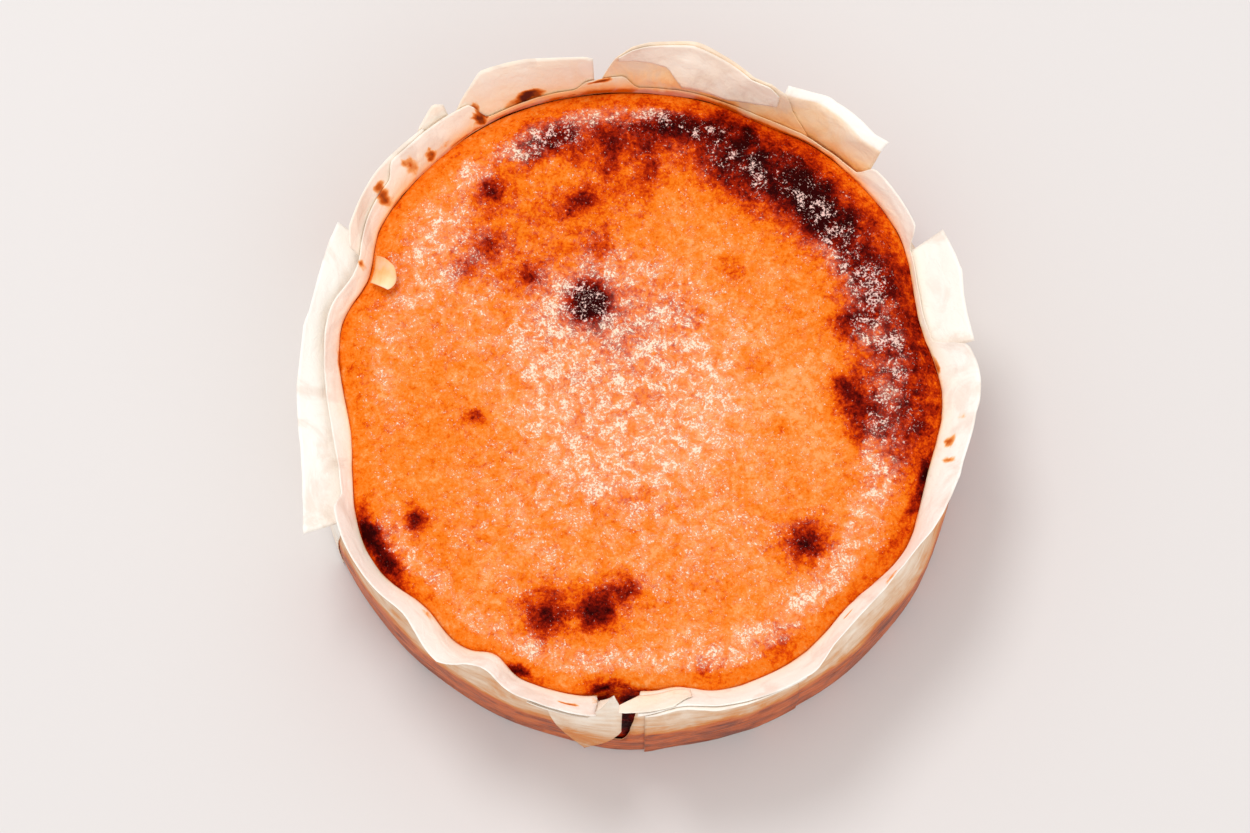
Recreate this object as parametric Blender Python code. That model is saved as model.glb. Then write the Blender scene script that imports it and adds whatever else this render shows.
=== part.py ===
"""A whole burnt cheesecake, 20 cm across, still in its parchment case.

The cake is one solid with a sunken middle, a raised browned ring and a shoulder that has shrunk
away from the tin. The case lines its base and side and flares out above the crust. Loose strips
of the same paper overlap round the outside. Azimuth 0 is +X and 270 faces the viewer, at -Y.
Metres, +Z up, with the origin at the middle of the base.
"""

import math
from dataclasses import dataclass

import bmesh
import bpy

# Driving sizes of the cake.
BASE_RADIUS = 0.0985
EDGE_RADIUS = 0.0925  # of the crust's edge where nothing pressed it in
CRUST_HEIGHT = 0.054  # where the crust meets the paper
MIDDLE_HEIGHT = 0.0545  # the sunken centre of the top
RING_RISE = 0.0032  # of the browned ring over the centre
RING_SHARE = 0.86  # its crest, as a share of the crust's radius
EDGE_ROUND = 0.0030  # of the bottom edge
BELLY_HEIGHT = 0.020  # the side is upright below this
SHOULDER_POWER = 2.6  # how late the side turns in to the crust
PLEAT_DEPTH = 0.0007
TEAR_AZIMUTH = 266.0  # middle of the split in the paper at the front
CRAG_DEPTH = 0.0018  # of the scorched crag that shows in the split
CRAG_WIDTH = 5.0  # degrees

# Driving sizes of the paper.
PAPER = 0.0004
GAP = 0.0005  # between the cake and the paper, and between two papers
LEAN = 30.0  # of the flare out from upright, in degrees
RAGGED_DEPTH = 0.0007  # of the waves along the case's free edge
STRETCH_EASE = 3.0  # degrees over which one stretch of the free edge gives way to the next
WAVE_DEPTH = 0.0011  # of the flare's waves, at WAVE_REACH up the flare
WAVE_REACH = 0.0160
TEAR_FLOOR = 0.022
TEAR_COLUMNS = 2

COLUMNS = 96  # steps round the cake
STEP = 360.0 / COLUMNS
WALL_HEIGHTS = (0.0030, 0.0120, 0.0220, 0.0320, 0.0400, 0.0460, 0.0505, CRUST_HEIGHT)
FLARE_SHARES = (0.30, 0.65, 1.0)
TOP_SHARES = (0.975, 0.935, 0.895, 0.86, 0.81, 0.74, 0.64, 0.52, 0.38, 0.24, 0.10)


@dataclass(frozen=True)
class Swell:
    """A smooth local change round the cake."""

    azimuth: float
    spread: float  # degrees from its middle to where it has faded to about a third
    amount: float


# Where a fold of the paper pressed the crust's edge in, in metres. Below zero it bulges.
PINCHES = (
    Swell(14, 13, 0.0065),
    Swell(65, 8, 0.0015),
    Swell(118, 22, -0.0020),
    Swell(157, 7, 0.0050),
    Swell(187, 16, 0.0065),
    Swell(212, 7, -0.0010),
    Swell(226, 6, 0.0030),
    Swell(242, 4, 0.0035),
    Swell(268, 6, 0.0035),
    Swell(277, 5, 0.0035),
    Swell(314, 10, 0.0040),
    Swell(345, 14, 0.0040),
)

# Where the flare leans otherwise, in degrees: steep at the back, fallen open at the sides.
LEAN_CHANGES = (
    Swell(75, 42, -13.0),
    Swell(186, 14, 10.0),
    Swell(210, 9, -5.0),
    Swell(229, 7, 6.0),
    Swell(267, 9, 10.0),
    Swell(327, 10, -10.0),
    Swell(358, 16, 24.0),
)

# The case's free edge in stretches: the azimuth where each begins and its flare's length.
CASE_STRETCHES = (
    (7, 0.0030), (28, 0.0095), (43, 0.0030), (90, 0.0085), (99, 0.0035), (118, 0.0128),
    (137, 0.0078), (200, 0.0140),
)  # fmt: skip

FOOT = -0.0534  # climb of a strip's foot: a hair over the floor, so the case carries the cake


@dataclass(frozen=True)
class Strip:
    """A loose strip of paper round the case.

    Each table holds (azimuth in degrees, value) points. A climb is a distance up the paper, in
    metres, from where the crust meets it: negative down the side and positive up the flare.
    """

    name: str
    layer: int  # out from the case, which is layer 0
    reach: tuple  # climb of the upper edge
    low: tuple = ((0.0, FOOT),)  # climb of the lower edge
    lean: float = 0.0  # degrees out from upright, where it is not the case's own
    margin: tuple = ()  # length of an upper margin that is folded further out
    sides: tuple = ()  # straight sides in plan that a strip leans out to, its reach then its rise


STRIPS = (
    Strip(
        "strip_left", 2,
        reach=((150.5, 0.0075), (154, 0.0095), (204.5, 0.0090)),
        sides=((163, 0.1000), (180, 0.0990)),
    ),
    Strip(
        "strip_back_left", 1,
        reach=((129.5, 0.0140), (151, 0.0145), (154, 0.0120)),
    ),
    Strip(
        "tab_back_left", 2,
        reach=((124.5, 0.0165), (126, 0.0185), (130, 0.0145), (135, 0.0050)),
    ),
    Strip(
        "strip_back", 1,
        reach=((98, 0.0215), (100, 0.0230), (117, 0.0230), (122, 0.0140), (127, 0.0035)),
    ),
    Strip(
        "strip_back_right", 1,
        reach=((57, 0.0020), (61, 0.0100), (63, 0.0195), (66, 0.0235), (91, 0.0230), (94, 0.0190),
               (96.5, 0.0080)),
    ),
    Strip(
        "fold_back", 0,
        low=((64, 0.0120), (73, 0.0055), (82, 0.0045), (85, 0.0120), (93.5, 0.0170)),
        reach=((64, 0.0185), (66, 0.0225), (91, 0.0220), (93.5, 0.0195)),
    ),
    Strip(
        "strip_right_back", 2,
        reach=((44, 0.0180), (63.5, 0.0185)),
        lean=18.0,
        margin=((44, 0.0060), (55, 0.0036), (63.5, 0.0042)),
    ),
    Strip(
        "strip_right", 1,
        reach=((8, 0.0150), (20, 0.0180), (28, 0.0140)),
        lean=56.0,
    ),
    Strip(
        "strip_front_left", 2,
        low=((251, 0.0100), (260.5, FOOT), (267, -0.0180)),
        reach=((251, 0.0130), (261.5, 0.0130), (267, -0.0060)),
    ),
    Strip(
        "strip_front_right", 1,
        reach=((271, 0.0145), (275, 0.0155), (299, 0.0140)),
    ),
    Strip(
        "fold_front", -1,
        low=((266.5, 0.0095), (270, 0.0040), (279.5, 0.0036)),
        reach=((266.5, 0.0130), (276, 0.0148), (279.5, 0.0080)),
    ),
)  # fmt: skip
FLAP_ROWS = 9  # of a strip whose lower edge climbs up the side
MARGIN_LEAN = 62.0

# The small curl of the lining that lies in over the crust at the left.
CURL_AZIMUTH = 155.0
CURL_WIDTH = 6.0  # degrees
CURL_REACH = 0.0070
CURL_RISE = 0.0035
CURL_CELLS = 5
CURL_CLEARANCE = 0.0012  # over the crust

CRUST_COLOUR = (0.82, 0.24, 0.03, 1.0)
CASE_COLOUR = (0.78, 0.52, 0.30, 1.0)
STRIP_COLOUR = (0.93, 0.86, 0.76, 1.0)


def clear_scene():
    """Removes whatever the scene held."""
    for thing in list(bpy.data.objects):
        bpy.data.objects.remove(thing, do_unlink=True)


def material(name, colour, roughness):
    """A plain Principled material."""
    made = bpy.data.materials.new(name)
    made.use_nodes = True
    shader = made.node_tree.nodes["Principled BSDF"]
    shader.inputs["Base Color"].default_value = colour
    shader.inputs["Roughness"].default_value = roughness
    shader.inputs["Metallic"].default_value = 0.0
    return made


def eased(share):
    """A share from 0 to 1 with a level start and end."""
    share = min(max(share, 0.0), 1.0)
    return share * share * (3.0 - 2.0 * share)


def apart(azimuth, other):
    """Degrees between two azimuths."""
    return abs((azimuth - other + 180.0) % 360.0 - 180.0)


def swell(changes, azimuth):
    """Sum of some smooth local changes at an azimuth."""
    return sum(
        change.amount * math.exp(-((apart(azimuth, change.azimuth) / change.spread) ** 2))
        for change in changes
    )


def edge_radius(azimuth):
    """Radius of the crust's edge."""
    return EDGE_RADIUS - swell(PINCHES, azimuth)


def flare_lean(azimuth):
    """Lean of the flare out from upright."""
    return LEAN + swell(LEAN_CHANGES, azimuth)


def case_reach(azimuth):
    """Length of the case's own flare, with the free edge's waves."""
    azimuth %= 360.0
    begun = [index for index, (start, _) in enumerate(CASE_STRETCHES) if start <= azimuth]
    index = begun[-1] if begun else len(CASE_STRETCHES) - 1
    start, reach = CASE_STRETCHES[index]
    before = CASE_STRETCHES[index - 1][1]
    into = (azimuth - start) % 360.0
    turn = math.radians(azimuth)
    ragged = 0.6 * math.sin(11 * turn + 0.8) + 0.4 * math.sin(17 * turn + 2.0)
    return before + (reach - before) * eased(into / STRETCH_EASE) + RAGGED_DEPTH * ragged


def span_value(points, azimuth):
    """Value at an azimuth along an open curve, which is held level beyond its ends."""
    azimuth = min(max(azimuth, points[0][0]), points[-1][0])
    if len(points) == 1:
        return points[0][1]
    index = max(i for i, point in enumerate(points[:-1]) if point[0] <= azimuth)
    start, end = points[index], points[index + 1]
    share = (azimuth - start[0]) / (end[0] - start[0])
    return start[1] + (end[1] - start[1]) * share


def pleat(azimuth):
    """Depth of the side's upright pleats, which the lining pressed into it."""
    turn = math.radians(azimuth)
    waves = (
        0.50 * math.sin(7 * turn + 0.6)
        + 0.35 * math.sin(12 * turn + 2.1)
        + 0.30 * math.sin(17 * turn + 4.0)
    )
    return PLEAT_DEPTH * waves


def wave(azimuth, climb):
    """Waves of the flare, in or out, at a distance up it."""
    turn = math.radians(azimuth)
    waves = (
        0.55 * math.sin(9 * turn + 1.3)
        + 0.35 * math.sin(14 * turn + 0.2)
        + 0.25 * math.sin(19 * turn + 3.1)
    )
    return WAVE_DEPTH * waves * (climb / WAVE_REACH) ** 1.5


def side_radius(azimuth, height):
    """Radius of the cake's side, which turns in over the shoulder to the crust's edge."""
    crust = edge_radius(azimuth)
    climb = min(max((height - BELLY_HEIGHT) / (CRUST_HEIGHT - BELLY_HEIGHT), 0.0), 1.0)
    upright = 1.0 - climb**SHOULDER_POWER
    return crust + (BASE_RADIUS - crust) * upright + pleat(azimuth) * (1.0 - 0.6 * climb)


def crag(azimuth):
    """How far the scorched crag in the split bites into the shoulder."""
    return CRAG_DEPTH * math.exp(-((apart(azimuth, TEAR_AZIMUTH) / CRAG_WIDTH) ** 2))


def top_height(azimuth, share):
    """Height of the top crust at a share of the way from the centre to the crust's edge."""
    turn = math.radians(azimuth)
    ring = RING_RISE * (1.0 + 0.35 * math.cos(turn - math.radians(75)))
    uneven = 0.0004 * math.sin(3 * turn + 1.0) + 0.0003 * math.sin(5 * turn)
    if share <= RING_SHARE:
        return MIDDLE_HEIGHT + (ring + uneven) * eased(share / RING_SHARE) ** 1.5
    crest = MIDDLE_HEIGHT + ring + uneven
    fall = (share - RING_SHARE) / (1.0 - RING_SHARE)
    return crest + (CRUST_HEIGHT - crest) * fall**2


def place(vertex, azimuth, radius, height):
    """Puts a vertex at an azimuth, radius and height."""
    turn = math.radians(azimuth)
    vertex.co = (radius * math.cos(turn), radius * math.sin(turn), height)


def ring_of(mesh, edges, profile):
    """Extrudes a closed ring of edges and puts each new vertex where profile(azimuth) says."""
    made = bmesh.ops.extrude_edge_only(mesh, edges=edges)["geom"]
    for vertex in (part for part in made if isinstance(part, bmesh.types.BMVert)):
        azimuth = math.degrees(math.atan2(vertex.co.y, vertex.co.x))
        place(vertex, azimuth, *profile(azimuth))
    return [part for part in made if isinstance(part, bmesh.types.BMEdge)]


def disc(mesh, radius, height):
    """A filled circle facing down, and its rim of edges."""
    bmesh.ops.create_circle(mesh, cap_ends=True, segments=COLUMNS, radius=radius)
    bmesh.ops.translate(mesh, verts=mesh.verts[:], vec=(0.0, 0.0, height))
    return mesh.edges[:]


def add_object(name, mesh, finish):
    """Makes a smooth-shaded object of a bmesh, with its faces pointing out."""
    data = bpy.data.meshes.new(name)
    mesh.to_mesh(data)
    mesh.free()
    data.materials.append(finish)
    data.shade_smooth()
    thing = bpy.data.objects.new(name, data)
    bpy.context.scene.collection.objects.link(thing)
    return thing


def thicken(thing):
    """Gives a sheet the paper's thickness on its outer side."""
    solid = thing.modifiers.new("Thickness", "SOLIDIFY")
    solid.thickness = PAPER
    solid.offset = 1.0
    solid.use_even_offset = True
    solid.use_rim = True
    return thing


def make_cake(finish):
    """The cake, ring by ring from its base, up its side and in over its top."""
    foot = PAPER + GAP
    mesh = bmesh.new()
    edges = disc(mesh, BASE_RADIUS - EDGE_ROUND, foot)
    heights = [foot + EDGE_ROUND] + [h for h in WALL_HEIGHTS if h > foot + 2 * EDGE_ROUND]
    for height in heights:
        depth = crag if height > TEAR_FLOOR else (lambda azimuth: 0.0)
        edges = ring_of(
            mesh, edges, lambda azimuth, h=height, d=depth: (side_radius(azimuth, h) - d(azimuth), h)
        )
    for share in TOP_SHARES:
        edges = ring_of(
            mesh,
            edges,
            lambda azimuth, s=share: (
                s * edge_radius(azimuth) - crag(azimuth) * s**4,
                top_height(azimuth, s),
            ),
        )
    bmesh.ops.holes_fill(mesh, edges=edges)
    middle = max(mesh.faces, key=lambda face: face.calc_center_median().z * (len(face.verts) > 4))
    bmesh.ops.poke(mesh, faces=[middle])
    bmesh.ops.recalc_face_normals(mesh, faces=mesh.faces[:])
    return add_object("cheesecake", mesh, finish)


def paper_point(azimuth, climb, lean):
    """(radius, height) on the paper that touches the cake, at a climb from the crust's edge."""
    if climb <= 0.0:
        height = CRUST_HEIGHT + climb
        return side_radius(azimuth, height), height
    tilt = math.radians(lean)
    out = wave(azimuth, climb)
    return (
        side_radius(azimuth, CRUST_HEIGHT) + climb * math.sin(tilt) + out * math.cos(tilt),
        CRUST_HEIGHT + climb * math.cos(tilt) - out * math.sin(tilt),
    )


def offset_profile(points, distance):
    """The same profile moved outwards, each corner mitred."""
    normals = []
    for (r0, h0), (r1, h1) in zip(points, points[1:]):
        length = math.hypot(r1 - r0, h1 - h0)
        normals.append(((h1 - h0) / length, (r0 - r1) / length))
    moved = []
    for index, (radius, height) in enumerate(points):
        first = normals[max(index - 1, 0)]
        second = normals[min(index, len(normals) - 1)]
        share = distance / (1.0 + first[0] * second[0] + first[1] * second[1])
        moved.append((radius + (first[0] + second[0]) * share, height + (first[1] + second[1]) * share))
    return moved


def case_profile(azimuth):
    """Points up the case at an azimuth, from its foot to its free edge."""
    reach = case_reach(azimuth)
    lean = flare_lean(azimuth)
    climbs = [FOOT] + [height - CRUST_HEIGHT for height in WALL_HEIGHTS]
    climbs += [reach * share for share in FLARE_SHARES]
    return offset_profile([paper_point(azimuth, climb, lean) for climb in climbs], GAP)


def make_case(finish):
    """The case: a round base, the side that clings to the cake, and the flare above the crust."""
    profiles = [case_profile(STEP * column) for column in range(COLUMNS)]
    mesh = bmesh.new()
    edges = disc(mesh, BASE_RADIUS - EDGE_ROUND, PAPER)
    for row in range(1, len(profiles[0])):
        edges = ring_of(
            mesh, edges, lambda azimuth, r=row: profiles[round(azimuth / STEP) % COLUMNS][r]
        )
    bmesh.ops.recalc_face_normals(mesh, faces=mesh.faces[:])
    if mesh.faces[0].normal.z > 0:
        bmesh.ops.reverse_faces(mesh, faces=mesh.faces[:])
    split = [
        face
        for face in mesh.faces
        if len(face.verts) == 4
        and min(vertex.co.z for vertex in face.verts) > TEAR_FLOOR - 1e-4
        and apart(azimuth_of(face), TEAR_AZIMUTH) < TEAR_COLUMNS * STEP / 2
    ]
    bmesh.ops.delete(mesh, geom=split, context="FACES")
    return thicken(add_object("case", mesh, finish))


def azimuth_of(face):
    """Azimuth of a face's middle."""
    middle = face.calc_center_median()
    return math.degrees(math.atan2(middle.y, middle.x)) % 360.0


def strip_climbs(strip, azimuth):
    """Climbs of a strip's rows at an azimuth, from its lower edge to its upper edge."""
    reach = span_value(strip.reach, azimuth)
    if len(strip.low) == 1:
        side = [height - CRUST_HEIGHT for height in WALL_HEIGHTS]
        return [FOOT, *side, *(reach * share for share in FLARE_SHARES)]
    low = span_value(strip.low, azimuth)
    rows = FLAP_ROWS if min(point[1] for point in strip.low) < 0.0 else len(FLARE_SHARES)
    climbs = [low + (reach - low) * row / rows for row in range(rows + 1)]
    if low < 0.0 < reach:
        climbs[min(range(1, rows), key=lambda row: abs(climbs[row]))] = 0.0
    return climbs


def strip_profile(strip, azimuth, climbs):
    """Points up a strip at an azimuth."""
    lean = strip.lean or flare_lean(azimuth)
    points = [paper_point(azimuth, climb, lean) for climb in climbs]
    if strip.sides:
        corner = side_radius(azimuth, CRUST_HEIGHT)
        reached = [out / math.cos(math.radians(apart(azimuth, way))) for way, out in strip.sides]
        out = min(reached) - corner
        shares = [max(climb, 0.0) / climbs[-1] for climb in climbs]
        points = [
            (corner + out * share, CRUST_HEIGHT + climb) if share > 0.0 else point
            for share, climb, point in zip(shares, climbs, points)
        ]
    if strip.margin:
        length = span_value(strip.margin, azimuth)
        radius, height = points[-1]
        fold = math.radians(MARGIN_LEAN)
        points.append((radius + length * math.sin(fold), height + length * math.cos(fold)))
    return offset_profile(points, GAP + strip.layer * (PAPER + GAP))


def make_strip(strip, finish):
    """A loose strip of paper, bent from a flat grid to stand round the case."""
    first, last = strip.reach[0][0], strip.reach[-1][0]
    inside = [k * STEP for k in range(COLUMNS) if first + STEP / 4 < k * STEP < last - STEP / 4]
    azimuths = [first, *inside, last]
    profiles = [
        (azimuth, strip_profile(strip, azimuth, strip_climbs(strip, azimuth)))
        for azimuth in azimuths
    ]
    rows = len(profiles[0][1]) - 1
    mesh = bmesh.new()
    bmesh.ops.create_grid(mesh, x_segments=len(azimuths) - 1, y_segments=rows, size=0.5)
    for vertex in mesh.verts:
        column = round((vertex.co.x + 0.5) * (len(azimuths) - 1))
        row = round((vertex.co.y + 0.5) * rows)
        azimuth, profile = profiles[column]
        place(vertex, azimuth, *profile[row])
    bmesh.ops.recalc_face_normals(mesh, faces=mesh.faces[:])
    face = mesh.faces[0]
    if face.normal.dot(face.calc_center_median()) < 0:
        bmesh.ops.reverse_faces(mesh, faces=mesh.faces[:])
    return thicken(add_object(strip.name, mesh, finish))


def make_curl(finish):
    """A small curl of paper that has fallen in over the crust's edge."""
    mesh = bmesh.new()
    bmesh.ops.create_grid(mesh, x_segments=CURL_CELLS, y_segments=CURL_CELLS, size=0.5)
    for vertex in mesh.verts:
        azimuth = CURL_AZIMUTH + vertex.co.x * CURL_WIDTH
        inward = vertex.co.y + 0.5
        crust = edge_radius(azimuth)
        radius = crust - 0.0015 - CURL_REACH * inward
        height = top_height(azimuth, radius / crust) + CURL_CLEARANCE
        bend = CURL_RISE * math.sin(math.pi * (0.15 + 0.5 * inward)) * (1.0 - 0.3 * vertex.co.x)
        place(vertex, azimuth, radius, height + bend)
    bmesh.ops.recalc_face_normals(mesh, faces=mesh.faces[:])
    if mesh.faces[0].normal.z < 0:
        bmesh.ops.reverse_faces(mesh, faces=mesh.faces[:])
    return thicken(add_object("curl_left", mesh, finish))


def main():
    """Builds the cake, its case, the loose strips and the curl."""
    clear_scene()
    crust = material("crust", CRUST_COLOUR, 0.45)
    greased = material("greased_paper", CASE_COLOUR, 0.5)
    dry = material("dry_paper", STRIP_COLOUR, 0.6)
    make_cake(crust)
    make_case(greased)
    for strip in STRIPS:
        make_strip(strip, dry)
    make_curl(dry)


main()
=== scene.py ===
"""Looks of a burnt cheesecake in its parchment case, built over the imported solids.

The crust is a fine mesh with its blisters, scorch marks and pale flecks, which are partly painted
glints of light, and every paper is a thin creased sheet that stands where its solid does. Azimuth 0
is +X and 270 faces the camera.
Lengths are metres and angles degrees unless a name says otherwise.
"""

from __future__ import annotations

import logging
import math
import random
from collections.abc import Iterable, Sequence
from dataclasses import dataclass
from enum import Enum

import bmesh
import bpy
from mathutils import Matrix, Vector, noise

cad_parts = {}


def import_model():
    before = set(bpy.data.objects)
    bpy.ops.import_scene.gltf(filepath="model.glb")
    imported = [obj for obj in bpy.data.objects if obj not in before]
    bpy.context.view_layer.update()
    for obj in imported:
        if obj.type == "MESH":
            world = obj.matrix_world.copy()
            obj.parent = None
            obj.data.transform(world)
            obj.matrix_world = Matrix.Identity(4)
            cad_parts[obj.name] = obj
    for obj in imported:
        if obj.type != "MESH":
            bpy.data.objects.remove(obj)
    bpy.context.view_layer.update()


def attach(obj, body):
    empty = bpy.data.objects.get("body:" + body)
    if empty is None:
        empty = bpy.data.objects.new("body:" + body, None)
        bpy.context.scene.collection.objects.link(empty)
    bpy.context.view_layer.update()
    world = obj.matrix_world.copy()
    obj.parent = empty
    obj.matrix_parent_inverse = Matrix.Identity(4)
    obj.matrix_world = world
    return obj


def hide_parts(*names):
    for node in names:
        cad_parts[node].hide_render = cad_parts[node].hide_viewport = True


LOG = logging.getLogger("cheesecake")
Points = Sequence[tuple[float, float]]
Colour = tuple[float, float, float, float]
Place = tuple[float, float, float]
Rows = list[tuple[float, float, float]]  # climb, radius and height of each fine row of a sheet
Inputs = dict[str | int, object]  # what each socket of a node takes
Socket = bpy.types.NodeSocket
MM = 0.001
PAPER = 0.00024  # thickness of every sheet
PAPER_LAYERS = ("grease", "soak", "stain")
MIX_SOCKETS = (0, 6, 7)  # a colour Mix node's share, first and second colour

# The solids' own rows up the paper.
FOOT_CLIMB = -0.0534
WALL_CLIMBS = (FOOT_CLIMB, -0.051, -0.042, -0.032, -0.022, -0.014, -0.008, -0.0035, 0.0)
FLARE_SHARES = (0.3, 0.65, 1.0)
FLAP_ROWS = 9


def srgb(*screen: int) -> Colour:
    """Turns a screen colour's red, green and blue, from 0 to 255, into a linear colour."""
    shares = [channel / 255.0 for channel in screen]
    return (*(s / 12.92 if s <= 0.04045 else ((s + 0.055) / 1.055) ** 2.4 for s in shares), 1.0)


def clamp(value: float, low: float = 0.0, high: float = 1.0) -> float:
    """A value held between two limits."""
    return min(max(value, low), high)


def eased(share: float) -> float:
    """A share from 0 to 1 with a level start and end."""
    share = clamp(share)
    return share * share * (3.0 - 2.0 * share)


def apart(azimuth: float, other: float) -> float:
    """Signed degrees from one azimuth to another, from -180 to 180."""
    return (azimuth - other + 180.0) % 360.0 - 180.0


def azimuth_of(x: float, y: float) -> float:
    """Azimuth of a place, from 0 to 360."""
    return math.degrees(math.atan2(y, x)) % 360.0


@dataclass(frozen=True)
class Swell:
    """A smooth local change round the cake."""

    azimuth: float
    spread: float  # degrees from its middle to where it has faded to about a third
    amount: float


def swell(changes: Iterable[Swell], azimuth: float) -> float:
    """Sum of some smooth local changes at an azimuth."""
    return sum(c.amount * math.exp(-((apart(azimuth, c.azimuth) / c.spread) ** 2)) for c in changes)


def waves(azimuth: float, *parts: tuple[float, int, float]) -> float:
    """Sum of some waves round the cake, each a size, a count and a start in radians."""
    turn = math.radians(azimuth)
    return sum(size * math.sin(count * turn + start) for size, count, start in parts)


def span_value(points: Points, azimuth: float) -> float:
    """Reads an open curve of straight stretches, level beyond its ends.

    Args:
        points: (azimuth, value) points in rising order.
        azimuth: Where to read it.

    Returns:
        The value at that azimuth.
    """
    azimuth = clamp(azimuth, points[0][0], points[-1][0])
    if len(points) == 1:
        return points[0][1]
    index = max(i for i, point in enumerate(points[:-1]) if point[0] <= azimuth)
    (start, low), (end, high) = points[index], points[index + 1]
    return low + (high - low) * (azimuth - start) / (end - start)


def ripple(x: float, y: float, seed: float, pitch: float) -> float:
    """Smooth noise from -1 to 1 over a flat field, its features a pitch wide, in metres."""
    return noise.noise(Vector((x / pitch, y / pitch, seed * 7.31)))


def folded_facets(count: int, seed: int) -> Points:
    """Random fold lines round the paper, with straight facets between them.

    Args:
        count: How many facets.
        seed: Picks another set.

    Returns:
        (azimuth, value) points from 0 to 360, closed, with values from -1 to 1.
    """
    pick = random.Random(seed)
    step = 360.0 / count
    shift = 0.32  # share of a facet by which a fold line may be off
    inner = [
        (step * (fold + pick.uniform(-shift, shift)), pick.uniform(-1.0, 1.0)) for fold in range(1, count)
    ]
    ends = pick.uniform(-1.0, 1.0)
    return ((0.0, ends), *inner, (360.0, ends))


# Folds that run up the flare and up the side, shared by every layer of paper.
FLARE_FOLDS = folded_facets(38, 11)
SIDE_FOLDS = folded_facets(64, 5)


@dataclass(frozen=True)
class CakeForm:
    """The cake's own shape, in the same sizes as its solid."""

    base_radius: float = 0.0985
    edge_radius: float = 0.0925
    crust_height: float = 0.054
    middle_height: float = 0.0545
    ring_rise: float = 0.0032
    ring_share: float = 0.86
    ring_tilt: float = 0.35  # share by which the ring is higher on one side
    ring_high: float = 75.0  # azimuth of that side
    belly_height: float = 0.02
    shoulder_power: float = 2.6
    pleat_depth: float = 0.0007
    foot: float = 0.0009
    edge_round: float = 0.003
    crag_azimuth: float = 266.0
    crag_depth: float = 0.0018
    crag_width: float = 5.0
    pinches: tuple[Swell, ...] = (
        Swell(14, 13, 0.0065),
        Swell(65, 8, 0.0015),
        Swell(118, 22, -0.002),
        Swell(157, 7, 0.005),
        Swell(187, 16, 0.0065),
        Swell(212, 7, -0.001),
        Swell(226, 6, 0.003),
        Swell(242, 4, 0.0035),
        Swell(268, 6, 0.0035),
        Swell(277, 5, 0.0035),
        Swell(314, 10, 0.004),
        Swell(345, 14, 0.004),
    )

    def edge(self, azimuth: float) -> float:
        """Radius of the crust's edge, pressed in where a fold of the paper stood."""
        return self.edge_radius - swell(self.pinches, azimuth)

    def pleat(self, azimuth: float) -> float:
        """Depth of the side's upright pleats at an azimuth."""
        return self.pleat_depth * waves(azimuth, (0.5, 7, 0.6), (0.35, 12, 2.1), (0.3, 17, 4.0))

    def side_radius(self, azimuth: float, height: float) -> float:
        """Radius of the cake's side.

        Args:
            azimuth: Where round the cake.
            height: Height above the floor.

        Returns:
            The radius, in metres.
        """
        crust = self.edge(azimuth)
        climb = clamp((height - self.belly_height) / (self.crust_height - self.belly_height))
        upright = 1.0 - climb**self.shoulder_power
        pleat = self.pleat(azimuth) * (1.0 - 0.6 * climb)
        return crust + (self.base_radius - crust) * upright + pleat

    def crag(self, azimuth: float) -> float:
        """How far the scorched crag bites into the shoulder at an azimuth."""
        return swell((Swell(self.crag_azimuth, self.crag_width, self.crag_depth),), azimuth)

    def top_height(self, azimuth: float, share: float) -> float:
        """Height of the crust.

        Args:
            azimuth: Where round the cake.
            share: Share of the way from the centre to the crust's edge.

        Returns:
            The height, in metres.
        """
        ring = self.ring_rise * (1.0 + self.ring_tilt * math.cos(math.radians(azimuth - self.ring_high)))
        ring += waves(azimuth, (0.0004, 3, 1.0), (0.0003, 5, 0.0))
        if share <= self.ring_share:
            return self.middle_height + ring * eased(share / self.ring_share) ** 1.5
        crest = self.middle_height + ring
        fall = (share - self.ring_share) / (1.0 - self.ring_share)
        return crest + (self.crust_height - crest) * fall**2


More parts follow.
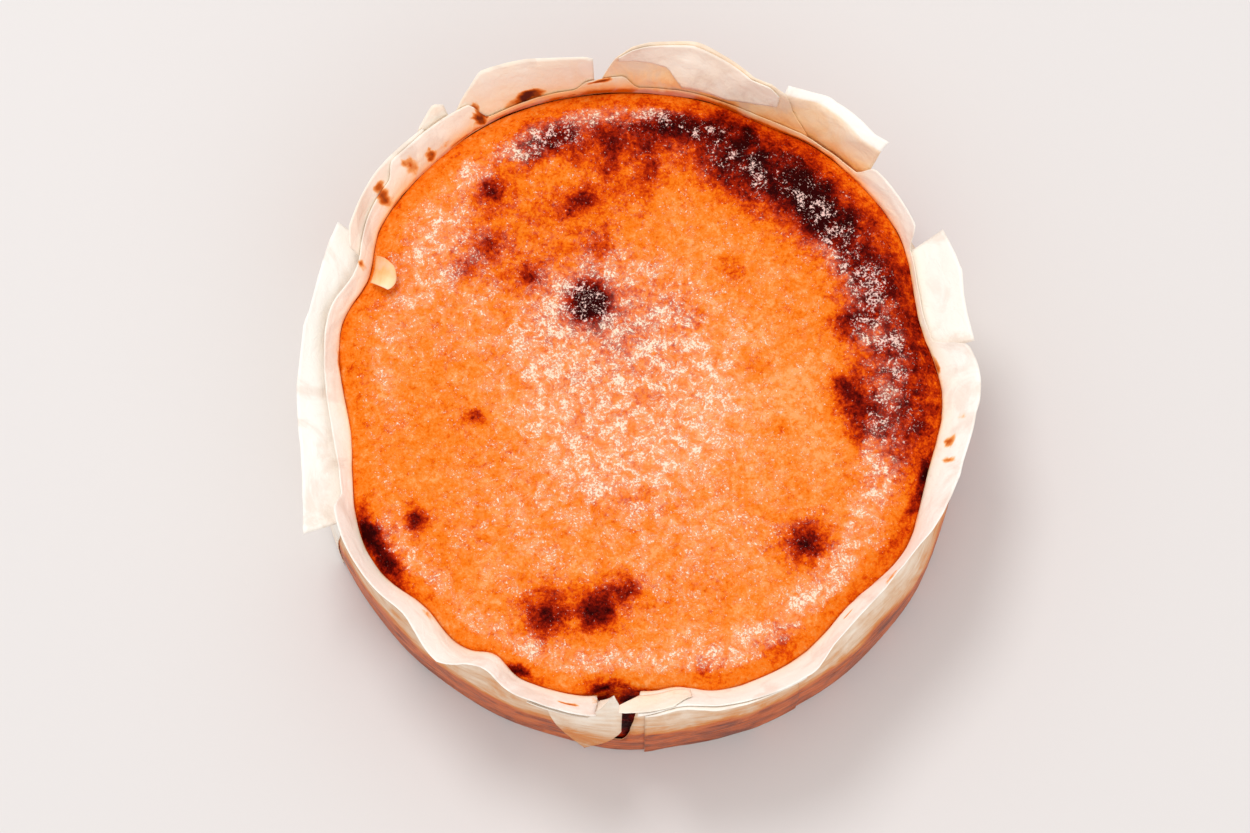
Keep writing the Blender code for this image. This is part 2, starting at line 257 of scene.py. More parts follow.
@dataclass(frozen=True)
class PaperForm:
    """How paper stands round the cake: its layers, its flare's waves and its creases."""

    cake: CakeForm
    gap: float = 0.00028
    layer_step: float = 0.00064
    lean: float = 30.0  # of the flare out from upright, in degrees
    lean_changes: tuple[Swell, ...] = (
        Swell(75, 42, -13.0),
        Swell(186, 14, 10.0),
        Swell(210, 9, -5.0),
        Swell(229, 7, 6.0),
        Swell(267, 9, 10.0),
        Swell(327, 10, -10.0),
        Swell(358, 16, 24.0),
    )
    # Where each stretch of the case's free edge begins, and its flare's length.
    stretches: Points = (
        (7, 0.003), (28, 0.0095), (43, 0.003), (90, 0.0085), (99, 0.0035), (118, 0.0128),
        (137, 0.0078), (200, 0.014),
    )  # fmt: skip
    stretch_ease: float = 3.0
    ragged_depth: float = 0.0007
    wave_depth: float = 0.0011
    wave_reach: float = 0.016
    margin_lean: float = 62.0

    def lean_at(self, azimuth: float) -> float:
        """Lean of the flare out from upright."""
        return self.lean + swell(self.lean_changes, azimuth)

    def case_reach(self, azimuth: float) -> float:
        """Length of the case's own flare, with the free edge's waves.

        Args:
            azimuth: Where round the cake.

        Returns:
            The length, in metres.
        """
        azimuth %= 360.0
        begun = [index for index, (start, _) in enumerate(self.stretches) if start <= azimuth]
        index = begun[-1] if begun else len(self.stretches) - 1
        start, reach = self.stretches[index]
        before = self.stretches[index - 1][1]
        into = (azimuth - start) % 360.0
        ragged = self.ragged_depth * waves(azimuth, (0.6, 11, 0.8), (0.4, 17, 2.0))
        return before + (reach - before) * eased(into / self.stretch_ease) + ragged

    def wave(self, azimuth: float, climb: float) -> float:
        """Waves of the flare, in or out, at a distance up it."""
        height = waves(azimuth, (0.55, 9, 1.3), (0.35, 14, 0.2), (0.25, 19, 3.1))
        return self.wave_depth * height * (climb / self.wave_reach) ** 1.5

    def point(self, azimuth: float, climb: float, lean: float) -> tuple[float, float]:
        """A point on the paper that touches the cake.

        Args:
            azimuth: Where round the cake.
            climb: Distance up the paper from the crust's edge, negative down the side.
            lean: The flare's lean out from upright.

        Returns:
            The radius and the height, in metres.
        """
        height = self.cake.crust_height
        if climb <= 0.0:
            return self.cake.side_radius(azimuth, height + climb), height + climb
        tilt = math.radians(lean)
        out = self.wave(azimuth, climb)
        radius = self.cake.side_radius(azimuth, height)
        return (
            radius + climb * math.sin(tilt) + out * math.cos(tilt),
            height + climb * math.cos(tilt) - out * math.sin(tilt),
        )

    def layer_offset(self, layer: float) -> float:
        """Distance of a layer's inner face out from the cake."""
        return self.gap + layer * self.layer_step

    def creases(self, azimuth: float, climb: float, seed: float) -> float:
        """How far the creased paper stands out at a place.

        Args:
            azimuth: Where round the cake.
            climb: Distance up the paper from the crust's edge.
            seed: The sheet's own number, which sets its fine creases.

        Returns:
            The distance out, in metres.
        """
        girth = 0.1  # radius at which the creases' size is measured
        x, y = girth * math.cos(math.radians(azimuth)), girth * math.sin(math.radians(azimuth))
        up = clamp(climb / 0.014, 0.0, 1.3)
        shared = span_value(FLARE_FOLDS, (azimuth + 330.0 * climb) % 360.0) * 1.75 * MM * up
        shared += span_value(SIDE_FOLDS, (azimuth - 90.0 * climb) % 360.0) * 0.12 * MM
        shared += noise.noise(Vector((x * 45, y * 45, climb * 60))) * 0.8 * MM * up
        own = noise.noise(Vector((x * 120, y * 120, climb * 260 + seed)))
        fine = 1.0 - min(1.0, 3.0 * abs(noise.noise(Vector((x * 95, y * 95, climb * 330 + seed)))))
        return shared + (0.09 * own + 0.15 * fine) * MM


def offset_profile(points: Points, distance: float) -> list[tuple[float, float]]:
    """Moves a profile outwards, each corner mitred.

    Args:
        points: (radius, height) points from its foot to its top.
        distance: How far to move it.

    Returns:
        The moved points.
    """
    normals = []
    for (r0, h0), (r1, h1) in zip(points, points[1:]):
        length = max(math.hypot(r1 - r0, h1 - h0), 1e-9)
        normals.append(((h1 - h0) / length, (r0 - r1) / length))
    moved = []
    for index, (radius, height) in enumerate(points):
        first = normals[max(index - 1, 0)]
        second = normals[min(index, len(normals) - 1)]
        share = distance / (1.0 + first[0] * second[0] + first[1] * second[1])
        moved.append((radius + (first[0] + second[0]) * share, height + (first[1] + second[1]) * share))
    return moved


def fine_rows(climbs: Sequence[float], points: Points, fill: int) -> Rows:
    """Fills fine rows in between a profile's own, and softens its corners.

    Args:
        climbs: Each point's climb.
        points: (radius, height) points.
        fill: Fine rows for each stretch.

    Returns:
        (climb, radius, height) points.
    """
    rows = []
    for index in range(len(points) - 1):
        for step in range(fill):
            share = step / fill
            low = (climbs[index], *points[index])
            high = (climbs[index + 1], *points[index + 1])
            rows.append(tuple(start + (end - start) * share for start, end in zip(low, high)))
    rows.append((climbs[-1], *points[-1]))
    for _ in range(2):
        inner = [
            (row[0], *((before[k] + 2.0 * row[k] + after[k]) / 4.0 for k in (1, 2)))
            for before, row, after in zip(rows, rows[1:], rows[2:])
        ]
        rows = [rows[0], *inner, rows[-1]]
    return rows


class Graph:
    """A material's node graph, with one short method for each kind of node it needs."""

    def __init__(self, name: str) -> None:
        """Starts a material with a Principled shader.

        Args:
            name: The material's name.
        """
        self.material = bpy.data.materials.new(name)
        self.material.use_nodes = True
        self.tree = self.material.node_tree
        self.shader = self.tree.nodes["Principled BSDF"]
        self.place = self.tree.nodes.new("ShaderNodeTexCoord").outputs["Object"]

    def feed(self, node: bpy.types.Node, inputs: Inputs) -> None:
        """Links an output to each of a node's sockets, or sets the socket to a plain value.

        Args:
            node: The node.
            inputs: What its sockets take.
        """
        for name, value in inputs.items():
            if isinstance(value, Socket):
                self.tree.links.new(value, node.inputs[name])
            else:
                node.inputs[name].default_value = value

    def node(self, kind: str, inputs: Inputs, **settings: object) -> bpy.types.Node:
        """Adds a node.

        Args:
            kind: The node's type.
            inputs: What its sockets take.
            settings: Its other properties.

        Returns:
            The node.
        """
        made = self.tree.nodes.new(kind)
        for name, value in settings.items():
            setattr(made, name, value)
        self.feed(made, inputs)
        return made

    def attribute(self, name: str) -> Socket:
        """A number that the mesh carries."""
        return self.node("ShaderNodeAttribute", {}, attribute_name=name).outputs["Fac"]

    def noise(
        self, scale: float, detail: float, rough: float, warp: float = 0.0, at: Socket | None = None
    ) -> Socket:
        """Noise from 0 to 1.

        Args:
            scale: Features per metre.
            detail: Octaves.
            rough: Strength of each finer octave.
            warp: Distortion.
            at: Where it is read, the object's own space unless given.

        Returns:
            The noise.
        """
        inputs = {"Vector": self.place if at is None else at, "Scale": scale, "Detail": detail}
        inputs |= {"Roughness": rough, "Distortion": warp}
        return self.node("ShaderNodeTexNoise", inputs).outputs["Fac"]

    def wander(self, amount: float, *shape: float) -> Socket:
        """Noise that wanders about zero by an amount, with the settings that noise takes."""
        return self.times(self.minus(self.noise(*shape), 0.5), amount)

    def math(self, kind: str, first: object, second: object) -> Socket:
        """One sum on two numbers."""
        return self.node("ShaderNodeMath", {0: first, 1: second}, operation=kind).outputs[0]

    def plus(self, first: object, second: object) -> Socket:
        """Adds two numbers."""
        return self.math("ADD", first, second)

    def minus(self, first: object, second: object) -> Socket:
        """Takes the second number from the first."""
        return self.math("SUBTRACT", first, second)

    def times(self, first: object, second: object) -> Socket:
        """Multiplies two numbers."""
        return self.math("MULTIPLY", first, second)

    def span(
        self, value: object, low: object, high: object, to_low: float = 0.0, to_high: float = 1.0
    ) -> Socket:
        """Maps a range smoothly to another, and clamps it."""
        inputs = {"Value": value, "From Min": low, "From Max": high, "To Min": to_low, "To Max": to_high}
        return self.node("ShaderNodeMapRange", inputs, interpolation_type="SMOOTHSTEP").outputs["Result"]

    def ramp(self, value: object, stops: Iterable[tuple[float, Colour]]) -> Socket:
        """Turns a number into a colour.

        Args:
            value: The number.
            stops: Rising places and the colour at each.

        Returns:
            The colour.
        """
        made = self.node("ShaderNodeValToRGB", {"Fac": value})
        elements = made.color_ramp.elements
        while len(elements) > 1:
            elements.remove(elements[-1])
        for index, (position, colour) in enumerate(stops):
            element = elements[0] if index == 0 else elements.new(position)
            element.position = position
            element.color = colour
        return made.outputs["Color"]

    def mix(self, share: object, first: object, second: object) -> Socket:
        """Mixes two colours by the share of the second."""
        inputs = dict(zip(MIX_SOCKETS, (share, first, second)))
        return self.node("ShaderNodeMix", inputs, data_type="RGBA").outputs[2]

    def bump(self, height: object, depth: float, strength: float, under: Socket | None = None) -> Socket:
        """Bumps a surface.

        Args:
            height: The height, from 0 to 1.
            depth: What a height of 1 stands for, in metres.
            strength: Share of the effect.
            under: A bump below this one.

        Returns:
            The bumped normal.
        """
        made = self.node("ShaderNodeBump", {"Height": height, "Distance": depth, "Strength": strength})
        if under is not None:
            self.feed(made, {"Normal": under})
        return made.outputs["Normal"]

    def finish(
        self, colour: object, rough: object, specular: float, normal: Socket | None = None
    ) -> bpy.types.Material:
        """Feeds the shader.

        Args:
            colour: Base colour.
            rough: Roughness.
            specular: Specular level.
            normal: Bumped normal, if it has one.

        Returns:
            The finished material.
        """
        self.feed(self.shader, {"Base Color": colour, "Roughness": rough, "Specular IOR Level": specular})
        if normal is not None:
            self.feed(self.shader, {"Normal": normal})
        return self.material


@dataclass(frozen=True)
class CrustFinish:
    """Custard crust that browns from pale orange through red-brown to nearly black."""

    palest: Colour = srgb(246, 160, 92)
    pale: Colour = srgb(240, 134, 50)
    orange: Colour = srgb(240, 116, 14)
    amber: Colour = srgb(216, 72, 4)
    rust: Colour = srgb(166, 34, 3)
    mahogany: Colour = srgb(104, 10, 2)
    scorched: Colour = srgb(46, 1, 1)
    # Pale flecks of dried skin, which also stand in as painted glints of light on the wet crust.
    fleck_and_glint: Colour = srgb(255, 234, 208)
    fleck_glint_on_scorch: Colour = srgb(248, 206, 196)
    # Where each brown sets in.
    browning: tuple[float, ...] = (0.0, 0.12, 0.27, 0.42, 0.57, 0.73, 0.93)
    specular: float = 0.02

    def material(self) -> bpy.types.Material:
        """The crust's material, from how toasted its points are and how thick their pale flecks and
        painted glints are.

        Returns:
            The material.
        """
        graph = Graph("crust")
        toast, fleck_glint_cover = graph.attribute("toast"), graph.attribute("fleck_glint_cover")
        torn = graph.times(graph.wander(0.6, 230, 6, 0.7, 0.8), graph.span(toast, 0.3, 0.6))
        grainy = graph.plus(graph.wander(0.9, 340, 5, 0.72, 0.4), graph.wander(0.56, 1150, 3, 0.7))
        uneven = graph.plus(graph.wander(0.3, 75, 5, 0.6, 0.4), graph.plus(grainy, torn))
        shade = graph.plus(toast, uneven)
        browns = [self.palest, self.pale, self.orange, self.amber]
        browns += [self.rust, self.mahogany, self.scorched]
        colour = graph.ramp(shade, zip(self.browning, browns))

        # Pale flecks and painted glints, dense where their cover is, over a thin pale wash of the same.
        clump = graph.span(graph.noise(240, 6, 0.8, 0.5), 0.38, 0.62, 0.05, 1.4)
        dense = graph.times(fleck_glint_cover, clump)
        edge = graph.minus(0.69, graph.times(dense, 0.15))
        flecks_and_glints = graph.span(graph.noise(1500, 4, 0.72, 0.2), edge, graph.plus(edge, 0.07))
        scorch = graph.span(toast, 0.38, 0.75)
        fleck_glint_tint = graph.mix(scorch, self.fleck_and_glint, self.fleck_glint_on_scorch)
        fleck_glint_amount = graph.plus(graph.times(fleck_glint_cover, 0.55), graph.times(dense, 0.55))
        fleck_glint_haze = graph.times(graph.span(fleck_glint_amount, 0.45, 1.5, 0.0, 0.22), graph.minus(1.0, scorch))
        colour = graph.mix(fleck_glint_haze, colour, fleck_glint_tint)
        colour = graph.mix(graph.times(flecks_and_glints, 0.94), colour, fleck_glint_tint)

        rough = graph.minus(0.55, graph.times(graph.span(shade, 0.4, 0.9), 0.15))
        normal = graph.bump(graph.noise(260, 5, 0.65, 0.5), 0.0011, 0.75)
        normal = graph.bump(graph.noise(900, 4, 0.7), 0.0004, 0.8, normal)
        normal = graph.bump(flecks_and_glints, 0.0002, 0.5, normal)
        return graph.finish(colour, rough, self.specular, normal)


class Face(Enum):
    """The two faces of a sheet of paper."""

    INSIDE = "inside"
    OUTSIDE = "outside"


@dataclass(frozen=True)
class PaperFinish:
    """Baking paper: dry and white at its free edge, greasy and brown where cake lies behind."""

    face: Face
    dry: Colour = srgb(253, 249, 243)
    soft: Colour = srgb(255, 238, 216)
    tan: Colour = srgb(255, 214, 164)
    greasy: Colour = srgb(250, 176, 104)
    # shaded: the grey of the painted shade in the flare's folds.
    shaded: Colour = srgb(226, 202, 184)
    bare: Colour = srgb(250, 234, 216)
    # grey: the outer face's upper band, partly less soaked paper and partly painted shade under the
    # flare.
    grey: Colour = srgb(230, 190, 154)
    baked: Colour = srgb(224, 140, 62)
    brown: Colour = srgb(206, 92, 3)
    dark: Colour = srgb(124, 44, 4)
    scorched: Colour = srgb(84, 14, 6)
    soaking_inside: tuple[float, ...] = (0.0, 0.28, 0.58, 0.82, 1.0)  # where each tone sets in
    soaking_outside: tuple[float, ...] = (0.0, 0.18, 0.44, 0.62, 0.82, 1.0)
    staining: tuple[float, ...] = (0.25, 0.4, 0.6, 0.86, 1.0)
    specular: float = 0.3

    def material(self) -> bpy.types.Material:
        """The paper's material, from how greasy or soaked and how stained its points are, with painted
        shade in soft grey fold patches inside and in a grey band outside.

        Returns:
            The material.
        """
        graph = Graph(f"paper_{self.face.value}")
        inside = self.face is Face.INSIDE
        grease = graph.attribute("grease" if inside else "soak")
        cloudy = graph.minus(graph.noise(90, 6, 0.62, 0.8), 0.5)
        soak = graph.plus(grease, graph.times(cloudy, graph.span(grease, 0.0, 0.4, 0.06, 0.6)))
        normal = graph.bump(graph.noise(230, 5, 0.6, 0.8), 0.0008, 0.5)
        if inside:
            tones = (self.dry, self.soft, self.tan, self.greasy, self.brown)
            colour = graph.ramp(soak, zip(self.soaking_inside, tones))
            # Painted shade: soft grey patches where the flare's folds turn from the light.
            painted_fold_shade = graph.span(graph.noise(46, 4, 0.6, 1.4), 0.5, 0.66, 0.0, 0.42)
            colour = graph.mix(painted_fold_shade, colour, self.shaded)
        else:
            streaks = self.streaks(graph)
            soak = graph.plus(soak, graph.times(graph.minus(streaks, 0.5), 0.46))
            # Outside: a grey band, partly painted shade under the flare, between the bare paper and the
            # browns.
            tones = (self.dry, self.bare, self.grey, self.baked, self.brown, self.dark)
            colour = graph.ramp(soak, zip(self.soaking_outside, tones))
            normal = graph.bump(streaks, 0.0014, 0.6, normal)
        mark = graph.plus(graph.attribute("stain"), graph.times(cloudy, 0.8))
        tones = (self.tan, self.greasy, self.brown, self.dark, self.scorched)
        browned = graph.ramp(mark, zip(self.staining, tones))
        colour = graph.mix(graph.span(mark, 0.24, 0.46), colour, browned)
        normal = graph.bump(graph.noise(1500, 3, 0.6), 0.0001, 0.4, normal)
        rough = graph.span(grease, 0.2, 0.8, 0.62, 0.42)
        return graph.finish(colour, rough, self.specular, normal)

    def streaks(self, graph: Graph) -> Socket:
        """Noise that is drawn out into level streaks."""
        squashed = graph.node("ShaderNodeMapping", {"Vector": graph.place, "Scale": (1.0, 1.0, 4.5)})
        return graph.noise(60, 6, 0.5, 1.6, at=squashed.outputs["Vector"])


@dataclass(frozen=True)
class FloorFinish:
    """A plain pale floor."""

    colour: Colour = srgb(223, 219, 218)

    def material(self) -> bpy.types.Material:
        """The floor's material."""
        return Graph("floor").finish(self.colour, 0.9, 0.1)


@dataclass(frozen=True)
class Mark:
    """A soft-edged mark: a scorch, a fold's shade or a field of flecks and painted glints."""

    azimuth: float
    radius: float
    round_size: float
    radial_size: float
    strength: float

    def at(self, azimuth: float, radius: float, spread: float = 1.0) -> float:
        """How strong the mark is at a place on the crust.

        Args:
            azimuth: Where round the cake.
            radius: Distance from its centre.
            spread: How many times its size the mark is taken to be.

        Returns:
            From 0 to the mark's strength.
        """
        turn = math.radians(apart(azimuth, self.azimuth))
        across = radius * math.sin(turn) / (self.round_size * spread)
        along = (radius * math.cos(turn) - self.radius) / (self.radial_size * spread)
        return self.strength * math.exp(-(across * across + along * along))


@dataclass(frozen=True)
class Arc:
    """A mark that runs some way round the crust."""

    azimuth: float
    spread: float  # degrees from its middle to where it has faded to about a third
    radius: float
    width: float
    strength: float
    squareness: float = 2.4  # of its fall, where 2 is a bell's

    def at(self, azimuth: float, radius: float) -> float:
        """How strong the arc is at a place on the crust.

        Args:
            azimuth: Where round the cake.
            radius: Distance from its centre.

        Returns:
            From 0 to the arc's strength.
        """
        across = abs(apart(azimuth, self.azimuth)) / self.spread
        along = abs(radius - self.radius) / self.width
        return self.strength * math.exp(-(across**self.squareness + along**self.squareness))


def add_object(name: str, mesh: bmesh.types.BMesh, *finishes: bpy.types.Material) -> bpy.types.Object:
    """Makes a smooth-shaded object of a bmesh.

    Args:
        name: The object's name.
        mesh: The mesh, which is freed.
        finishes: Its materials.

    Returns:
        The object, linked into the scene.
    """
    data = bpy.data.meshes.new(name)
    mesh.to_mesh(data)
    mesh.free()
    for finish in finishes:
        data.materials.append(finish)
    data.shade_smooth()
    thing = bpy.data.objects.new(name, data)
    bpy.context.scene.collection.objects.link(thing)
    return thing


def place(vertex: bmesh.types.BMVert, azimuth: float, radius: float, height: float) -> None:
    """Puts a vertex at an azimuth, radius and height."""
    turn = math.radians(azimuth)
    vertex.co = (radius * math.cos(turn), radius * math.sin(turn), height)


def note(vertex: bmesh.types.BMVert, layers: Iterable[object], values: Iterable[float]) -> None:
    """Writes a vertex's values into the mesh's layers."""
    for layer, value in zip(layers, values):
        vertex[layer] = value


def spun_rows(rows: int, columns: int, closed: bool, layers: Iterable[str]) -> bmesh.types.BMesh:
    """Spins a chain of rows about the middle, from a pole.

    Args:
        rows: How many rows stand at a radius of 1.
        columns: Steps round.
        closed: Whether the chain ends in a second pole.
        layers: Names of the numbers that the mesh carries.

    Returns:
        The mesh, where each point's height is its row, from 0 at the pole.
    """
    mesh = bmesh.new()
    for name in layers:
        mesh.verts.layers.float.new(name)
    chain = [mesh.verts.new((0.0, 0.0, 0.0))]
    chain += [mesh.verts.new((1.0, 0.0, float(row))) for row in range(1, rows + 1)]
    if closed:
        chain.append(mesh.verts.new((0.0, 0.0, rows + 1.0)))
    edges = [mesh.edges.new(pair) for pair in zip(chain, chain[1:])]
    axis = {"cent": (0.0, 0.0, 0.0), "axis": (0.0, 0.0, 1.0), "angle": math.tau}
    bmesh.ops.spin(mesh, geom=chain + edges, steps=columns, use_merge=True, **axis)
    bmesh.ops.remove_doubles(mesh, verts=mesh.verts[:], dist=1e-6)
    return mesh


@dataclass(frozen=True)
class Cake:
    """The cake itself: base, side and the browned, blistered crust."""

    form: CakeForm
    columns: int = 480
    top_rows: int = 118
    side_rows: int = 26
    blister_rise: float = 0.0007
    lip: float = 0.00024  # by which the crust's edge closes up to the paper
    left_folds: Swell = Swell(178, 17, 1.0)  # where folded paper has printed the crust
    split_spread: float = 9.0  # degrees over which the side is torn and dark at the front
    row_power: float = 0.92  # below 1, so that rows crowd towards the crust's edge
    ground: float = 0.175  # how browned the bare crust is
    fleck_glint_veil: float = 0.55  # how thickly flecks and painted glints cover the bare crust
    fleck_glint_veil_lost: float = 0.85  # share of that cover of flecks and painted glints that the pressed rim lacks
    fleck_glints_lost: float = 0.4  # by which a full scorch thins the flecks and painted glints
    most_fleck_glints: float = 1.3
    base_looks: tuple[float, float] = (0.5, 0.0)  # how toasted the base is and how thick its flecks and painted glints are

    spots: tuple[Mark, ...] = (
        Mark(119, 0.032, 0.006, 0.0058, 0.9), Mark(121, 0.0285, 0.007, 0.006, 0.22),
        Mark(132, 0.048, 0.0038, 0.0042, 0.46), Mark(104, 0.0455, 0.0046, 0.005, 0.34),
        Mark(107, 0.0605, 0.0058, 0.0034, 0.62), Mark(126, 0.0755, 0.0046, 0.0048, 0.62),
        Mark(136, 0.0635, 0.0048, 0.0048, 0.38), Mark(145, 0.064, 0.0042, 0.0046, 0.42),
        Mark(54, 0.047, 0.0038, 0.0034, 0.42), Mark(12, 0.036, 0.0036, 0.0036, 0.3),
        Mark(345, 0.043, 0.0028, 0.0028, 0.32), Mark(189, 0.049, 0.0028, 0.0034, 0.46),
        Mark(211, 0.0765, 0.004, 0.0036, 0.74), Mark(317, 0.067, 0.0056, 0.0058, 0.84),
        Mark(248, 0.0725, 0.0055, 0.0062, 0.82), Mark(259, 0.068, 0.0052, 0.0056, 0.88),
        Mark(266, 0.061, 0.0052, 0.0044, 0.64), Mark(0, 0.0615, 0.0058, 0.005, 0.66),
        Mark(354, 0.0655, 0.0044, 0.0048, 0.44), Mark(348, 0.067, 0.0036, 0.004, 0.4),
        Mark(17, 0.0655, 0.0055, 0.0048, 0.56), Mark(283, 0.085, 0.0045, 0.005, 0.3),
        Mark(298, 0.086, 0.0065, 0.0045, 0.34), Mark(70, 0.0295, 0.0045, 0.003, 0.16),
        Mark(57, 0.028, 0.005, 0.003, 0.18), Mark(88, 0.069, 0.0036, 0.0085, 0.36),
        Mark(97, 0.072, 0.0036, 0.008, 0.36), Mark(66, 0.069, 0.007, 0.005, 0.26),
        Mark(104, 0.074, 0.004, 0.005, 0.24),
    )  # fmt: skip
    arcs: tuple[Arc, ...] = (
        Arc(57, 20, 0.0782, 0.011, 0.66), Arc(77, 12, 0.0828, 0.0058, 0.42),
        Arc(37, 12, 0.0785, 0.009, 0.32), Arc(60, 28, 0.0765, 0.0165, 0.08),
        Arc(109, 9, 0.0815, 0.006, 0.56), Arc(92, 9, 0.079, 0.0085, 0.2),
        Arc(14, 17, 0.0765, 0.01, 0.42), Arc(352, 13, 0.0775, 0.0095, 0.36),
        Arc(80, 52, 0.0925, 0.0042, 0.08), Arc(6, 25, 0.0862, 0.0058, 0.26),
        Arc(343, 9, 0.0885, 0.0018, 0.46), Arc(325, 14, 0.0885, 0.0032, 0.16),
        Arc(212, 8, 0.0908, 0.0034, 0.88), Arc(247, 3, 0.0912, 0.0014, 0.6),
        Arc(264.5, 3.4, 0.0908, 0.0024, 0.8), Arc(114, 36, 0.068, 0.024, 0.07),
        Arc(178, 24, 0.083, 0.004, 0.07),
    )  # fmt: skip
    pale_patches: tuple[Mark, ...] = (
        Mark(352, 0.04, 0.03, 0.026, 0.1), Mark(60, 0.048, 0.018, 0.016, 0.06),
        Mark(0, 0.0, 0.026, 0.026, 0.05),
    )
    deep_patches: tuple[Mark, ...] = (
        Mark(88, 0.024, 0.02, 0.017, 0.17), Mark(0, 0.0, 0.024, 0.024, 0.14),
        Mark(115, 0.048, 0.026, 0.016, 0.06), Mark(262, 0.033, 0.02, 0.01, 0.05),
    )  # fmt: skip
    spot_share: float = 0.67
    halo_share: float = 0.13
    halo_reach: float = 1.8
    # Fields and arcs where pale flecks and painted glints of light gather.
    fleck_glint_fields: tuple[Mark, ...] = (
        Mark(95, 0.006, 0.025, 0.023, 1.15), Mark(82, 0.029, 0.012, 0.012, 0.32),
        Mark(104, 0.038, 0.011, 0.006, 0.45), Mark(128, 0.038, 0.008, 0.006, 0.8),
        Mark(145, 0.03, 0.018, 0.012, 0.5), Mark(215, 0.018, 0.022, 0.02, 0.6),
        Mark(245, 0.03, 0.01, 0.006, 0.45), Mark(330, 0.018, 0.02, 0.016, 0.45),
        Mark(61, 0.075, 0.006, 0.0038, 1.6), Mark(49, 0.077, 0.005, 0.0034, 1.1),
        Mark(42, 0.0762, 0.004, 0.003, 0.9), Mark(36, 0.0745, 0.0062, 0.0045, 1.75),
        Mark(26, 0.0748, 0.006, 0.004, 1.15), Mark(15, 0.069, 0.006, 0.0035, 0.9),
        Mark(10, 0.0752, 0.0055, 0.004, 1.0), Mark(3, 0.0765, 0.006, 0.004, 0.9),
        Mark(127, 0.083, 0.0048, 0.0038, 1.25), Mark(146, 0.072, 0.015, 0.011, 0.45),
        Mark(153, 0.056, 0.015, 0.014, 0.32), Mark(230, 0.056, 0.02, 0.018, 0.26),
        Mark(290, 0.05, 0.03, 0.018, 0.3), Mark(280, 0.075, 0.011, 0.007, 0.3),
        Mark(140, 0.078, 0.009, 0.006, 0.7), Mark(268, 0.014, 0.016, 0.012, 0.45),
    )  # fmt: skip
    fleck_glint_arcs: tuple[Arc, ...] = (
        Arc(111, 8, 0.0828, 0.0036, 1.5), Arc(98, 5, 0.086, 0.003, 0.85),
        Arc(87, 5, 0.085, 0.0028, 0.95), Arc(77.5, 3.5, 0.0822, 0.0022, 1.4),
        Arc(70.5, 3, 0.0768, 0.0024, 1.3), Arc(20, 8, 0.0745, 0.005, 0.7),
        Arc(350, 11, 0.0735, 0.0055, 0.62), Arc(332, 12, 0.0765, 0.0055, 0.62),
        Arc(310, 12, 0.08, 0.005, 0.72), Arc(292, 10, 0.083, 0.0042, 0.85),
        Arc(266, 14, 0.083, 0.0042, 0.75), Arc(242, 12, 0.0845, 0.004, 0.6),
        Arc(216, 10, 0.084, 0.0045, 0.4), Arc(168, 20, 0.076, 0.006, 0.34),
    )  # fmt: skip

    def wobble(self, x: float, y: float, seed: float) -> float:
        """How far the crust's marks are drawn aside at a place."""
        return 0.0013 * ripple(x, y, seed, 0.005) + 0.0007 * ripple(x, y, seed + 1.0, 0.0022)

    def halo(self, azimuth: float, radius: float) -> float:
        """How far the spots' fainter rims brown the crust at a place."""
        return self.halo_share * sum(spot.at(azimuth, radius, self.halo_reach) for spot in self.spots)

    def toast(self, azimuth: float, radius: float) -> float:
        """How browned the crust is at a place.

        Args:
            azimuth: Where round the cake.
            radius: Distance from its centre.

        Returns:
            From 0, pale, to about 1, scorched.
        """
        share = radius / self.form.edge(azimuth)
        x, y = radius * math.cos(math.radians(azimuth)), radius * math.sin(math.radians(azimuth))
        x += self.wobble(x, y, 12.0)
        y += self.wobble(x, y, 14.0)
        azimuth, radius = azimuth_of(x, y), math.hypot(x, y)
        streak = ripple(math.radians(azimuth) * 0.08, radius * 0.25, 16.0, 0.0032)
        patch = 1.0 + 0.3 * ripple(x, y, 2.0, 0.011) + 0.26 * ripple(x, y, 3.0, 0.0048) + 0.22 * streak
        level = self.ground + 0.06 * ripple(x, y, 1.0, 0.026)
        level -= sum(pale.at(azimuth, radius) for pale in self.pale_patches)
        level += patch * sum(arc.at(azimuth, radius) for arc in self.arcs)
        level += sum(deep.at(azimuth, radius) for deep in self.deep_patches)
        level += self.spot_share * sum(spot.at(azimuth, radius) for spot in self.spots)
        level += self.halo(azimuth, radius)
        fold = swell((self.left_folds,), azimuth) * eased((share - 0.84) / 0.05)
        return level + 0.07 * fold * ripple(x * 3.2, y * 0.5, 17.0, 0.0035)

    def fleck_glint_cover(self, azimuth: float, radius: float) -> float:
        """How thickly pale flecks and painted glints cover the crust at a place.

        Args:
            azimuth: Where round the cake.
            radius: Distance from its centre.

        Returns:
            From 0, bare, to about 1.
        """
        fields = (*self.fleck_glint_fields, *self.fleck_glint_arcs)
        rim = eased((radius / self.form.edge(azimuth) - 0.93) / 0.05)
        bare = self.fleck_glints_lost * sum(spot.at(azimuth, radius) for spot in self.spots)
        full = self.fleck_glint_veil * (1.0 - self.fleck_glint_veil_lost * rim)
        full += sum(field.at(azimuth, radius) for field in fields)
        return clamp(full - bare, 0.0, self.most_fleck_glints)

